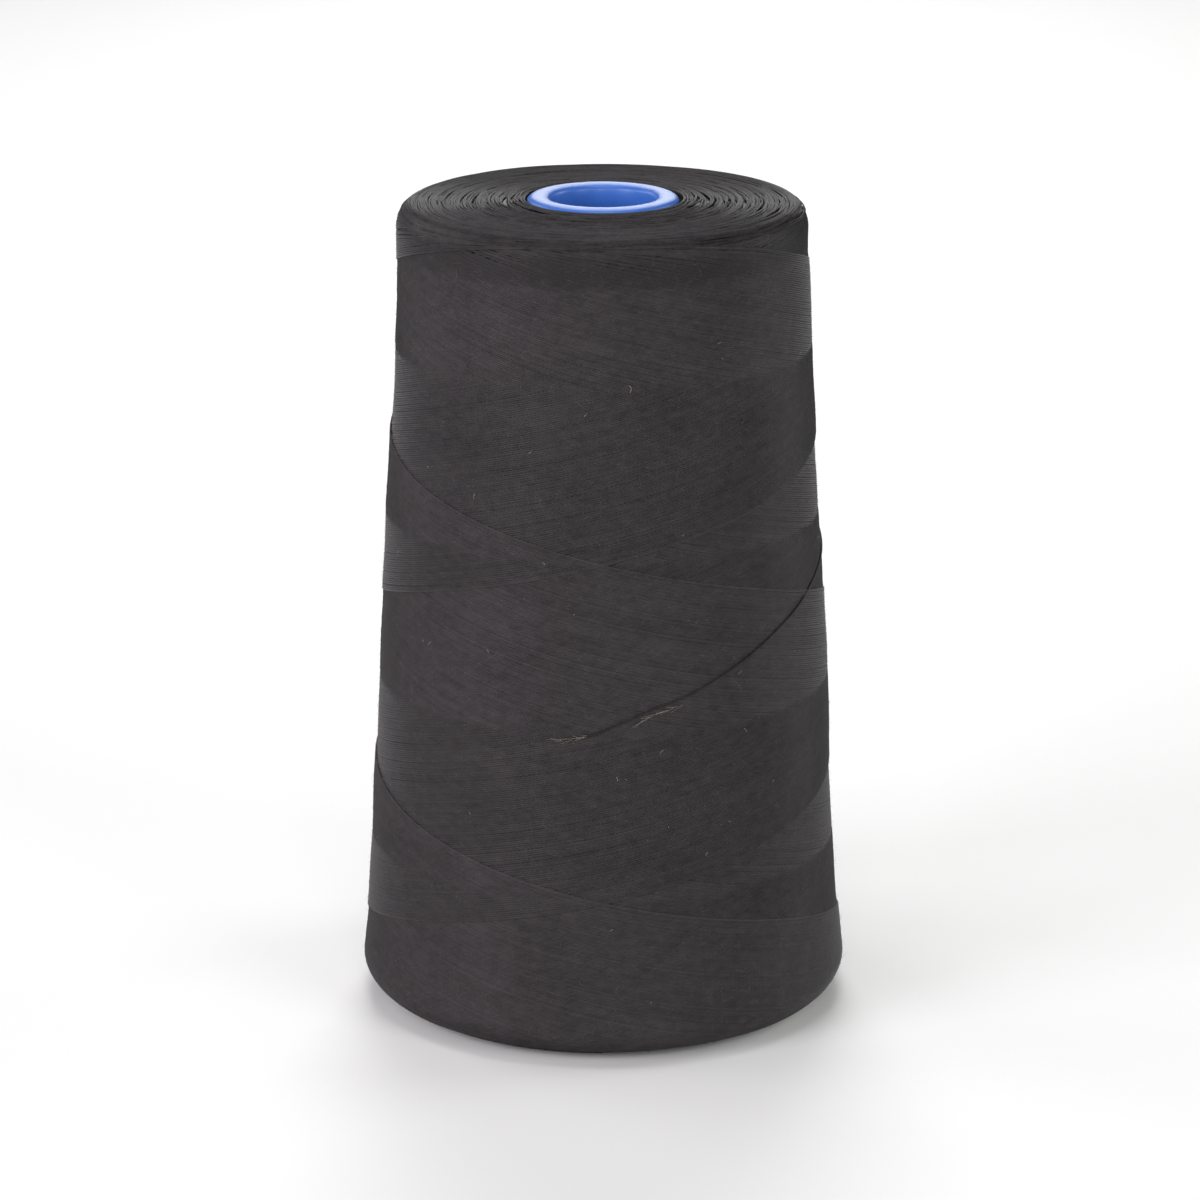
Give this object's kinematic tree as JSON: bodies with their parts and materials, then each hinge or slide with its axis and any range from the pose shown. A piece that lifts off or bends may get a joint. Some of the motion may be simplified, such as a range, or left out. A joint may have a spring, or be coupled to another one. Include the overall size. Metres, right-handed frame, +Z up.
{
  "type": "cone of thread",
  "caption": "Cone of dark sewing thread: a cross-wound tapered package on a hollow blue plastic cone, with one loose end; stands on its foot and unwinds over its nose.",
  "frame": {"origin": "on the axis, in the plane of the cone's foot", "axes": "+Z up along the axis towards the nose; the front, where the loose end's tip lies, is at -Y"},
  "size_m": [0.0762, 0.0762, 0.1283],
  "materials": {
    "thread": "matte spun thread, charcoal",
    "plastic": "smooth moulded, mid blue"
  },
  "bodies": {
    "root": {"plastic_cone": "plastic", "thread_package": "thread", "thread_end": "thread"}
  },
  "joints": []
}
